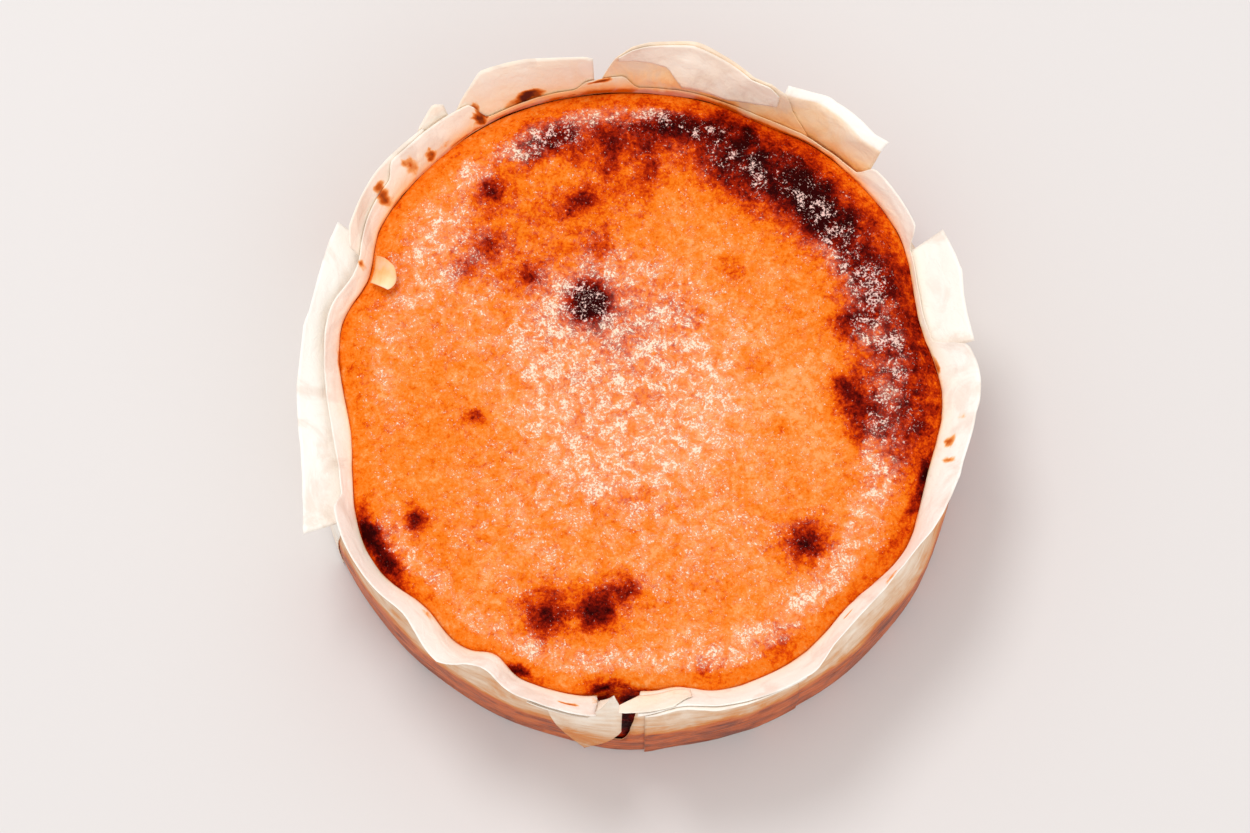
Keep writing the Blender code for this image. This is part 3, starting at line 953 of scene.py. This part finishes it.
    def relief(self, x: float, y: float, azimuth: float, share: float, toast: float) -> float:
        """Height of the crust's small lumps.

        Args:
            x: Place along X.
            y: Place along Y.
            azimuth: The same place's azimuth.
            share: Share of the way to the crust's edge.
            toast: How browned it is there.

        Returns:
            The height, in metres.
        """
        rise = self.blister_rise * eased((toast - 0.45) / 0.5)
        rise += 0.0004 * ripple(x, y, 5.0, 0.012) + 0.00022 * ripple(x, y, 6.0, 0.0045)
        rise += 0.0001 * ripple(x, y, 7.0, 0.0019) * (1.0 + 2.0 * eased((toast - 0.3) / 0.5))
        fold = swell((self.left_folds,), azimuth)
        lines = math.sin((share - 0.8) * 95.0 + 0.7 * ripple(x, y, 8.0, 0.02))
        return rise + 0.00035 * fold * lines * eased((share - 0.82) / 0.05)

    def place_top(self, vertex: bmesh.types.BMVert, azimuth: float, row: int) -> tuple[float, float]:
        """Places a point of the crust.

        Args:
            vertex: The point.
            azimuth: Where round the cake.
            row: Its row, from the centre out.

        Returns:
            How toasted it is and how thick its flecks and painted glints are.
        """
        form = self.form
        share = (row / self.top_rows) ** self.row_power
        radius = share * form.edge(azimuth)
        toast = self.toast(azimuth, radius)
        place(vertex, azimuth, radius - form.crag(azimuth) * share**4 + self.lip * share**60, 0.0)
        lump = self.relief(vertex.co.x, vertex.co.y, azimuth, share, toast)
        vertex.co.z = form.top_height(azimuth, share) + lump * eased((1.0 - share) / 0.06)
        return toast, self.fleck_glint_cover(azimuth, radius)

    def place_side(self, vertex: bmesh.types.BMVert, azimuth: float, row: int) -> tuple[float, float]:
        """Places a point of the side.

        Args:
            vertex: The point.
            azimuth: Where round the cake.
            row: Its row, from the crust down.

        Returns:
            How toasted it is and how thick its flecks and painted glints are.
        """
        form = self.form
        low = form.foot + form.edge_round
        height = form.crust_height + (low - form.crust_height) * row / self.side_rows
        radius = form.side_radius(azimuth, height)
        radius -= form.crag(azimuth) * eased((height - 0.012) / 0.03)
        radius += self.lip * eased(1.0 - (form.crust_height - height) / 0.002)
        place(vertex, azimuth, radius, height)
        split = swell((Swell(form.crag_azimuth, self.split_spread, 1.0),), azimuth)
        patchy = ripple(azimuth * 0.002, height, 9.0, 0.006)
        browned = 0.22 * eased((form.crust_height - height) / 0.006)
        return 0.2 + browned + 0.34 * split + 0.4 * patchy * (browned + split), 0.1

    def build(self, finish: bpy.types.Material) -> bpy.types.Object:
        """Spins the cake's profile and gives every point its place, browning and flecks.

        Args:
            finish: The crust's material.

        Returns:
            The cake.
        """
        form = self.form
        names = ("toast", "fleck_glint_cover")
        base_row = self.top_rows + self.side_rows + 1
        mesh = spun_rows(base_row, self.columns, True, names)
        layers = [mesh.verts.layers.float[name] for name in names]
        for vertex in mesh.verts:
            row = round(vertex.co.z)
            azimuth = azimuth_of(vertex.co.x, vertex.co.y)
            if row <= self.top_rows:
                looks = self.place_top(vertex, azimuth, row)
            elif row < base_row:
                looks = self.place_side(vertex, azimuth, row - self.top_rows)
            else:
                radius = form.base_radius - form.edge_round if row == base_row else 0.0
                place(vertex, azimuth, radius, form.foot)
                looks = self.base_looks
            note(vertex, layers, looks)
        bmesh.ops.recalc_face_normals(mesh, faces=mesh.faces[:])
        cake = add_object("cake", mesh, finish)
        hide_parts("cheesecake")
        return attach(cake, "root")


@dataclass(frozen=True)
class Stain:
    """A brown mark on a sheet of paper, by azimuth and climb."""

    azimuth: float
    climb: float
    width: float
    height: float
    strength: float

    def at(self, azimuth: float, climb: float) -> float:
        """How strong the stain is at a place on the paper.

        Args:
            azimuth: Where round the cake.
            climb: Distance up the paper from the crust's edge.

        Returns:
            From 0 to the stain's strength.
        """
        girth, wobble = 0.095, 0.55  # radius at which its width is measured, and how uneven its edge is
        place_round = math.radians(azimuth) * girth
        across = math.radians(apart(azimuth, self.azimuth)) * girth / self.width
        along = (climb - self.climb) / self.height
        across += wobble * ripple(place_round, climb, 21.0, 0.0021)
        along += wobble * ripple(place_round, climb, 22.0, 0.0021)
        return self.strength * math.exp(-(across * across + along * along))


def stained(stains: Iterable[Stain], azimuth: float, climb: float) -> float:
    """How strong a sheet's stains are together at a place."""
    return min(1.2, sum(stain.at(azimuth, climb) for stain in stains))


def side_soak_and_shade(soak: float, azimuth: float, climb: float) -> float:
    """How greasy a sheet's outer face is, with a grey band of painted shade just below the crust's edge.

    Args:
        soak: How greasy the whole sheet is.
        azimuth: Where round the cake.
        climb: Distance up the paper from the crust's edge.

    Returns:
        From 0, dry, to 1.
    """
    if climb > 0.0:
        return soak * (0.1 + 0.16 * math.exp(-climb / 0.008))
    # Below the crust's edge the value first holds a grey band, partly less soaked paper and partly
    # painted shade under the flare, then rises to brown.
    waver = 0.0035 * ripple(math.radians(azimuth) * 0.1, 0.0, 18.0, 0.014)
    low = eased((-climb - 0.017 + waver) / 0.009)
    return soak * (0.26 + 0.26 * eased(-climb / 0.018) + 0.48 * low)


@dataclass(frozen=True)
class Sheet:
    """A sheet of paper that stands round the cake.

    Its tables hold (azimuth, value) points, and a climb is a distance up the paper from the
    crust's edge, negative down the side. They match the solid that the sheet stands for.
    """

    name: str
    node: str
    layer: int
    reach: Points
    soak: float  # how greasy it is down the side, which also sets how deep the grey band of painted shade is
    warm: float  # how tan it is just above the crust
    seed: float  # sets its fine creases
    low: Points = ((0.0, FOOT_CLIMB),)
    lean: float = 0.0  # degrees out from upright, where it is not the case's own
    margin: Points = ()
    sides: Points = ()  # straight sides in plan that it leans out to, its reach then its rise
    stand: Points = ()  # layers it stands off, where it settles onto those below
    slot: str = "dry_paper"
    stains: tuple[Stain, ...] = ()
    column_step: float = 0.6
    fill: int = 5  # fine rows for each of the solid's

    def azimuths(self) -> list[float]:
        """Azimuths of the sheet's columns.

        Returns:
            Evenly spaced degrees, in rising order.
        """
        first, last = self.reach[0][0], self.reach[-1][0]
        count = max(6, round((last - first) / self.column_step))
        return [first + (last - first) * column / count for column in range(count + 1)]

    def climbs(self, azimuth: float) -> list[float]:
        """Climbs of the solid's own rows at an azimuth.

        Args:
            azimuth: Where round the cake.

        Returns:
            Distances up the paper, from the sheet's lower edge to its upper edge.
        """
        reach = self.reach_at(azimuth)
        if len(self.low) == 1:
            return [*WALL_CLIMBS, *(reach * share for share in FLARE_SHARES)]
        low = span_value(self.low, azimuth)
        rows = FLAP_ROWS if min(point[1] for point in self.low) < 0.0 else len(FLARE_SHARES)
        climbs = [low + (reach - low) * row / rows for row in range(rows + 1)]
        if low < 0.0 < reach:
            climbs[min(range(1, rows), key=lambda row: abs(climbs[row]))] = 0.0
        return climbs

    def reach_at(self, azimuth: float) -> float:
        """Climb of the sheet's upper edge at an azimuth."""
        return span_value(self.reach, azimuth)

    def profile(self, paper: PaperForm, azimuth: float) -> Rows:
        """Places the sheet's rows at an azimuth.

        Args:
            paper: How paper stands.
            azimuth: Where round the cake.

        Returns:
            (climb, radius, height) points, finely spaced, with a folded margin's at their end.
        """
        climbs = self.climbs(azimuth)
        lean = self.lean or paper.lean_at(azimuth)
        points = [paper.point(azimuth, climb, lean) for climb in climbs]
        if self.sides:
            corner = paper.cake.side_radius(azimuth, paper.cake.crust_height)
            reached = [out / math.cos(math.radians(apart(azimuth, way))) for way, out in self.sides]
            out = min(reached) - corner
            shares = [max(climb, 0.0) / climbs[-1] for climb in climbs]
            points = [
                (corner + out * share, paper.cake.crust_height + climb) if share > 0.0 else point
                for share, climb, point in zip(shares, climbs, points)
            ]
        if self.margin:
            length = span_value(self.margin, azimuth)
            radius, height = points[-1]
            fold = math.radians(paper.margin_lean)
            points.append((radius + length * math.sin(fold), height + length * math.cos(fold)))
            climbs = [*climbs, climbs[-1] + length]
        layer = span_value(self.stand, azimuth) if self.stand else self.layer
        moved = offset_profile(points, paper.layer_offset(layer))
        return fine_rows(climbs, moved, self.fill)

    def grease(self, azimuth: float, climb: float) -> float:
        """How greasy the inner face is at a place.

        Args:
            azimuth: Where round the cake.
            climb: Distance up the paper from the crust's edge.

        Returns:
            From 0, dry, to 1.
        """
        if climb <= 0.0:
            return 0.3 + 0.4 * self.warm
        if self.margin and climb > self.reach_at(azimuth):
            return 0.04
        return self.warm * (0.34 + 0.66 * math.exp(-((climb / 0.0085) ** 1.3)))

    def build(self, paper: PaperForm, finishes: Sequence[bpy.types.Material]) -> bpy.types.Object:
        """Bends a flat grid into the sheet.

        Args:
            paper: How paper stands.
            finishes: The inner and the outer face's materials.

        Returns:
            The sheet.
        """
        azimuths = self.azimuths()
        columns = [self.profile(paper, azimuth) for azimuth in azimuths]
        rows = len(columns[0]) - 1
        mesh = bmesh.new()
        layers = [mesh.verts.layers.float.new(name) for name in PAPER_LAYERS]
        bmesh.ops.create_grid(mesh, x_segments=len(azimuths) - 1, y_segments=rows, size=0.5)
        for vertex in mesh.verts:
            column = round((vertex.co.x + 0.5) * (len(azimuths) - 1))
            azimuth = azimuths[column]
            climb, radius, height = columns[column][round((vertex.co.y + 0.5) * rows)]
            place(vertex, azimuth, radius + paper.creases(azimuth, climb, self.seed), height)
            soak, stain = side_soak_and_shade(self.soak, azimuth, climb), stained(self.stains, azimuth, climb)
            note(vertex, layers, (self.grease(azimuth, climb), soak, stain))
        sheet = close_sheet(self.name, mesh, finishes)
        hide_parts(self.node)
        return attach(sheet, "root")


def thicken(piece: bpy.types.Object) -> bpy.types.Modifier:
    """Gives a sheet its thickness, outwards from its faces.

    Args:
        piece: The sheet's object.

    Returns:
        The modifier.
    """
    solid = piece.modifiers.new("Thickness", "SOLIDIFY")
    solid.thickness = PAPER
    solid.offset = 1.0
    return solid


def close_sheet(
    name: str, mesh: bmesh.types.BMesh, finishes: Sequence[bpy.types.Material]
) -> bpy.types.Object:
    """Turns a bent sheet's faces outwards and gives it a thickness.

    Args:
        name: The piece's name.
        mesh: The sheet's mesh.
        finishes: The inner and the outer face's materials.

    Returns:
        The piece, with its outer face in its first slot and its inner face in the second.
    """
    bmesh.ops.recalc_face_normals(mesh, faces=mesh.faces[:])
    face = max(mesh.faces, key=lambda f: f.calc_center_median().xy.length * (abs(f.normal.z) < 0.8))
    middle = face.calc_center_median()
    if face.normal.dot(Vector((middle.x, middle.y, 0.0))) < 0.0:
        bmesh.ops.reverse_faces(mesh, faces=mesh.faces[:])
    piece = add_object(name, mesh, *reversed(finishes))
    solid = thicken(piece)
    solid.use_even_offset = True
    solid.material_offset = 1
    solid.material_offset_rim = 1
    return piece


@dataclass(frozen=True)
class Case:
    """The lining proper: base, side and flare in one sheet, split at the front."""

    paper: PaperForm
    columns: int = 480
    fill: int = 5  # fine rows for each of the solid's
    soak: float = 0.88
    tear_azimuth: float = 266.25
    tear_half_width: float = 3.75
    tear_reach: float = 9.0  # degrees over which the columns give way to the split
    tear_row: int = 3  # the solid's row that the split starts from
    tanned: Swell = Swell(92, 48, 0.62)  # where the fat has crept up the flare
    stains: tuple[Stain, ...] = (
        Stain(97, 0.0075, 0.005, 0.0012, 0.9), Stain(102.5, 0.0015, 0.003, 0.001, 0.7),
        Stain(119.5, 0.0045, 0.0026, 0.004, 1.0), Stain(131, 0.004, 0.0018, 0.0036, 0.8),
        Stain(128, 0.0035, 0.0034, 0.0024, 0.45), Stain(135, 0.0065, 0.0026, 0.005, 0.62),
        Stain(142.5, 0.0055, 0.0026, 0.0036, 0.72), Stain(155.5, 0.006, 0.0014, 0.0034, 0.6),
        Stain(174.5, 0.0005, 0.006, 0.0012, 0.62), Stain(350, 0.006, 0.0018, 0.0028, 0.62),
        Stain(346.5, 0.0075, 0.0014, 0.0036, 0.62), Stain(355, 0.009, 0.0018, 0.0024, 0.36),
        Stain(5, 0.001, 0.004, 0.0014, 0.7), Stain(312, 0.005, 0.0028, 0.0009, 0.62),
        Stain(227.5, 0.003, 0.0042, 0.002, 0.46), Stain(258, 0.008, 0.0036, 0.0009, 0.66),
        Stain(262, 0.003, 0.0012, 0.005, 0.5), Stain(322, 0.0115, 0.0034, 0.0026, 0.42),
    )  # fmt: skip

    def column(self, azimuth: float) -> Rows:
        """Places the case's rows at an azimuth.

        Args:
            azimuth: Where round the cake.

        Returns:
            (climb, radius, height) points, finely spaced.
        """
        paper = self.paper
        reach, lean = paper.case_reach(azimuth), paper.lean_at(azimuth)
        climbs = [*WALL_CLIMBS, *(reach * share for share in FLARE_SHARES)]
        points = [paper.point(azimuth, climb, lean) for climb in climbs]
        return fine_rows(climbs, offset_profile(points, paper.gap), self.fill)

    def grease(self, azimuth: float, climb: float) -> float:
        """How greasy the case's inner face is at a place.

        Args:
            azimuth: Where round the cake.
            climb: Distance up the paper from the crust's edge.

        Returns:
            From 0, dry, to 1.
        """
        if climb <= 0.0:
            return 0.75
        tan = 0.26 + swell((self.tanned,), azimuth)
        stuck = 0.38 * math.exp(-((climb / 0.0011) ** 2))
        return tan * math.exp(-((climb / 0.005) ** 1.3)) + 0.35 * tan * tan + stuck

    def split_azimuth(self, azimuth: float, row: int, climb: float) -> float:
        """Draws the case's columns aside, so that the split narrows to its foot.

        Args:
            azimuth: A column's own azimuth.
            row: The fine row.
            climb: Its distance up the paper.

        Returns:
            Where the column stands at that row.
        """
        off = apart(azimuth, self.tear_azimuth)
        if row < self.tear_row * self.fill or abs(off) > self.tear_reach:
            return azimuth
        rise = clamp(1.0 + climb / -WALL_CLIMBS[self.tear_row])
        side = math.copysign(1.0, off)
        wide = self.tear_half_width * (0.22 + 0.78 * rise**0.7)
        wide += (0.5 * ripple(climb, side, 11.0, 0.006) + 0.25 * ripple(climb, side, 19.0, 0.002)) * rise
        if abs(off) <= self.tear_half_width:
            return self.tear_azimuth + off * wide / self.tear_half_width
        share = (abs(off) - self.tear_half_width) / (self.tear_reach - self.tear_half_width)
        return self.tear_azimuth + side * (wide + (self.tear_reach - wide) * share)

    def build(self, finishes: Sequence[bpy.types.Material]) -> bpy.types.Object:
        """Spins the case's profile, bends it to the cake, splits it and dresses it.

        Args:
            finishes: The inner and the outer face's materials.

        Returns:
            The case.
        """
        rows = self.fill * (len(WALL_CLIMBS) + len(FLARE_SHARES) - 1) + 2
        mesh = spun_rows(rows, self.columns, False, PAPER_LAYERS)
        layers = [mesh.verts.layers.float[name] for name in PAPER_LAYERS]
        cake = self.paper.cake
        bmesh.ops.delete(mesh, geom=[face for face in mesh.faces if self.in_tear(face)], context="FACES")
        known: dict[float, Rows] = {}
        for vertex in mesh.verts:
            row = round(vertex.co.z)
            azimuth = azimuth_of(vertex.co.x, vertex.co.y)
            if row <= 1:
                place(vertex, azimuth, row * (cake.base_radius - cake.edge_round), PAPER)
                note(vertex, layers, (0.9, 0.8, 0.0))
                continue
            key = round(azimuth, 3)
            if key not in known:
                known[key] = self.column(azimuth)
            climb = known[key][row - 2][0]
            moved = self.split_azimuth(azimuth, row - 2, climb)
            column = known[key] if moved == azimuth else self.column(moved)
            azimuth, (climb, radius, height) = moved, column[row - 2]
            stand = self.paper.creases(azimuth, climb, 0.0) * eased((climb + 0.052) / 0.004)
            place(vertex, azimuth, radius + stand, height)
            soak, stain = side_soak_and_shade(self.soak, azimuth, climb), stained(self.stains, azimuth, climb)
            note(vertex, layers, (self.grease(azimuth, climb), soak, stain))
        case = close_sheet("paper_case", mesh, finishes)
        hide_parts("case")
        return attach(case, "root")

    def in_tear(self, face: bmesh.types.BMFace) -> bool:
        """Tells whether a face of the spun, unbent case lies in the split.

        Args:
            face: The face.

        Returns:
            Whether it is left out.
        """
        middle = face.calc_center_median()
        off = abs(apart(azimuth_of(middle.x, middle.y), self.tear_azimuth))
        return off < self.tear_half_width and middle.z > self.tear_row * self.fill + 2


SHEETS: tuple[Sheet, ...] = (
    Sheet(
        "paper_left", "strip_left", 2, soak=0.15, warm=0.03, seed=2.0,
        reach=((150.5, 0.0075), (154, 0.0095), (204.5, 0.009)),
        sides=((163, 0.1), (180, 0.099)),
        stand=((186, 2.0), (203, 0.75)),
    ),
    Sheet(
        "paper_back_left", "strip_back_left", 1, soak=0.6, warm=0.35, seed=3.0,
        reach=((129.5, 0.014), (151, 0.0145), (154, 0.012)),
        stains=(Stain(135, 0.0095, 0.0024, 0.004, 0.62), Stain(142, 0.0095, 0.0022, 0.003, 0.6)),
    ),
    Sheet(
        "paper_tab", "tab_back_left", 2, soak=0.5, warm=0.45, seed=4.0,
        reach=((124.5, 0.0165), (126, 0.0185), (130, 0.0145), (135, 0.005)),
        stains=(Stain(128.5, 0.0075, 0.0034, 0.003, 0.48),),
    ),
    Sheet(
        "paper_back", "strip_back", 1, soak=0.7, warm=0.6, seed=5.0,
        reach=((98, 0.0215), (100, 0.023), (117, 0.023), (122, 0.014), (127, 0.0035)),
        stains=(Stain(110, 0.005, 0.0038, 0.0032, 1.15), Stain(120, 0.0085, 0.0016, 0.0036, 0.62),
                Stain(114, 0.003, 0.004, 0.0012, 0.5)),
    ),
    Sheet(
        "paper_back_right", "strip_back_right", 1, soak=0.75, warm=0.95, seed=6.0,
        reach=((57, 0.002), (61, 0.01), (63, 0.0195), (66, 0.0235), (91, 0.023), (94, 0.019),
               (96.5, 0.008)),
    ),
    Sheet(
        "paper_back_fold", "fold_back", 0, soak=0.3, warm=0.42, seed=7.0,
        low=((64, 0.012), (73, 0.0055), (82, 0.0045), (85, 0.012), (93.5, 0.017)),
        reach=((64, 0.0185), (66, 0.0225), (91, 0.022), (93.5, 0.0195)),
    ),
    Sheet(
        "paper_right_back", "strip_right_back", 2, soak=0.6, warm=0.92, seed=8.0,
        reach=((44, 0.018), (63.5, 0.0185)),
        lean=18.0,
        margin=((44, 0.006), (55, 0.0036), (63.5, 0.0042)),
    ),
    Sheet(
        "paper_right", "strip_right", 1, soak=0.35, warm=0.12, seed=9.0,
        reach=((8, 0.015), (20, 0.018), (28, 0.014)),
        lean=56.0,
    ),
    Sheet(
        "paper_front_left", "strip_front_left", 2, soak=0.56, warm=0.3, seed=10.0,
        low=((251, 0.01), (260.5, FOOT_CLIMB), (267, -0.018)),
        reach=((251, 0.013), (261.5, 0.013), (267, -0.006)),
        column_step=0.4,
    ),
    Sheet(
        "paper_front_right", "strip_front_right", 1, soak=0.9, warm=0.22, seed=11.0,
        reach=((271, 0.0145), (275, 0.0155), (299, 0.014)),
        stand=((290, 1.0), (299, 0.6)),
    ),
    Sheet(
        "paper_front_fold", "fold_front", -1, soak=0.35, warm=0.42, seed=12.0,
        low=((266.5, 0.0095), (270, 0.004), (279.5, 0.0036)),
        reach=((266.5, 0.013), (276, 0.0148), (279.5, 0.008)),
        column_step=0.4,
    ),
)  # fmt: skip


@dataclass(frozen=True)
class Curl:
    """The small curl of lining that lies in over the crust at the left."""

    form: CakeForm
    azimuth: float = 155.0
    width: float = 6.0
    reach: float = 0.007
    rise: float = 0.0035
    clearance: float = 0.0012
    cells: int = 16

    def build(self, finishes: Sequence[bpy.types.Material]) -> bpy.types.Object:
        """Bends a small grid into the curl.

        Args:
            finishes: The inner and the outer face's materials.

        Returns:
            The curl.
        """
        mesh = bmesh.new()
        layers = [mesh.verts.layers.float.new(name) for name in PAPER_LAYERS]
        bmesh.ops.create_grid(mesh, x_segments=self.cells, y_segments=self.cells, size=0.5)
        for vertex in mesh.verts:
            across, inward = vertex.co.x * 2.0, vertex.co.y + 0.5
            narrow = 1.0 - 0.3 * max(0.0, inward - 0.35) ** 1.5 - 0.1 * (1.0 - inward)
            azimuth = self.azimuth + 0.5 * across * narrow * self.width + 0.9 * inward
            crust = self.form.edge(azimuth)
            blunt = inward * (1.0 - 0.16 * across * across * inward)
            radius = crust - 0.0008 - self.reach * 1.08 * blunt
            height = self.form.top_height(azimuth, radius / crust) + self.clearance
            bend = self.rise * math.sin(math.pi * (0.15 + 0.62 * inward)) * (1.0 - 0.15 * across)
            lift = 0.0009 * across * across * inward
            lift += 0.0003 * ripple(across * 0.004, inward * 0.004, 20.0, 0.003)
            place(vertex, azimuth, radius, height + bend + lift)
            note(vertex, layers, (0.82 - 0.14 * eased(inward * 1.2) - 0.22 * clamp(across), 0.0, 0.0))
        bmesh.ops.recalc_face_normals(mesh, faces=mesh.faces[:])
        if mesh.faces[0].normal.z < 0.0:
            bmesh.ops.reverse_faces(mesh, faces=mesh.faces[:])
        curl = add_object("paper_curl", mesh, finishes[0], finishes[0])
        thicken(curl)
        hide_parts("curl_left")
        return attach(curl, "root")


@dataclass(frozen=True)
class Studio:
    """Floor, soft lights and the camera that looks almost straight down."""

    target: Place = (-0.0041, 0.005, 0.0)
    elevation: float = 77.0  # degrees up from level, towards the front
    distance: float = 1.15
    lens: float = 106.0  # millimetres, as the sensor's width is
    sensor: float = 36.0
    near: float = 0.05
    far: float = 20.0
    floor_size: float = 6.0
    sky: float = 0.84
    sky_colour: Colour = (1.0, 0.985, 0.97, 1.0)
    lamps: tuple[tuple[str, Place, float, float], ...] = (  # name, place, size and watts
        ("lamp_over", (-0.35, 0.55, 1.5), 0.5, 8.5),
        ("lamp_fill", (0.5, -0.9, 1.1), 1.2, 2.4),
    )

    def lay_floor(self) -> None:
        """Lays the pale floor."""
        mesh = bmesh.new()
        bmesh.ops.create_grid(mesh, x_segments=1, y_segments=1, size=self.floor_size / 2)
        floor = add_object("floor", mesh, FloorFinish().material())

    def hang_lamps(self) -> None:
        """Hangs the soft lamps and sets the sky."""
        for name, place_at, size, power in self.lamps:
            data = bpy.data.lights.new(name, "AREA")
            data.shape = "DISK"
            data.size = size
            data.energy = power
            lamp = bpy.data.objects.new(name, data)
            lamp.location = place_at
            lamp.rotation_mode = "QUATERNION"
            lamp.rotation_quaternion = Vector(place_at).to_track_quat("Z", "Y")
            bpy.context.scene.collection.objects.link(lamp)
        world = bpy.data.worlds.new("studio")
        bpy.context.scene.world = world
        world.use_nodes = True
        back = world.node_tree.nodes["Background"]
        back.inputs["Color"].default_value = self.sky_colour
        back.inputs["Strength"].default_value = self.sky

    def set_camera(self) -> None:
        """Sets the camera and how tones show."""
        data = bpy.data.cameras.new("camera")
        data.lens = self.lens
        data.sensor_width = self.sensor
        data.clip_start = self.near
        data.clip_end = self.far
        camera = bpy.data.objects.new("camera", data)
        climb = math.radians(self.elevation)
        back = Vector((0.0, -math.cos(climb), math.sin(climb)))
        turn = back.to_track_quat("Z", "Y").to_matrix().to_4x4()
        camera.matrix_world = Matrix.Translation(Vector(self.target) + self.distance * back) @ turn
        scene = bpy.context.scene
        scene.collection.objects.link(camera)
        scene.camera = camera
        scene.view_settings.view_transform = "Standard"
        scene.view_settings.look = "None"

    def build(self) -> None:
        """Builds the whole studio."""
        self.lay_floor()
        self.hang_lamps()
        self.set_camera()


def log_piece(thing: bpy.types.Object) -> None:
    """Reports a finished piece."""
    LOG.info("%s: %d faces", thing.name, len(thing.data.polygons))


def main() -> None:
    """Builds every piece of the cake, its papers and the studio."""
    logging.basicConfig(level=logging.INFO, format="%(name)s: %(message)s")
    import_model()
    cake_form = CakeForm()
    paper_form = PaperForm(cake_form)
    papers = [PaperFinish(face).material() for face in Face]
    log_piece(Cake(cake_form).build(CrustFinish().material()))
    log_piece(Case(paper_form).build(papers))
    for sheet in SHEETS:
        log_piece(sheet.build(paper_form, papers))
    log_piece(Curl(cake_form).build(papers))
    Studio().build()


if __name__ == "__main__":
    main()
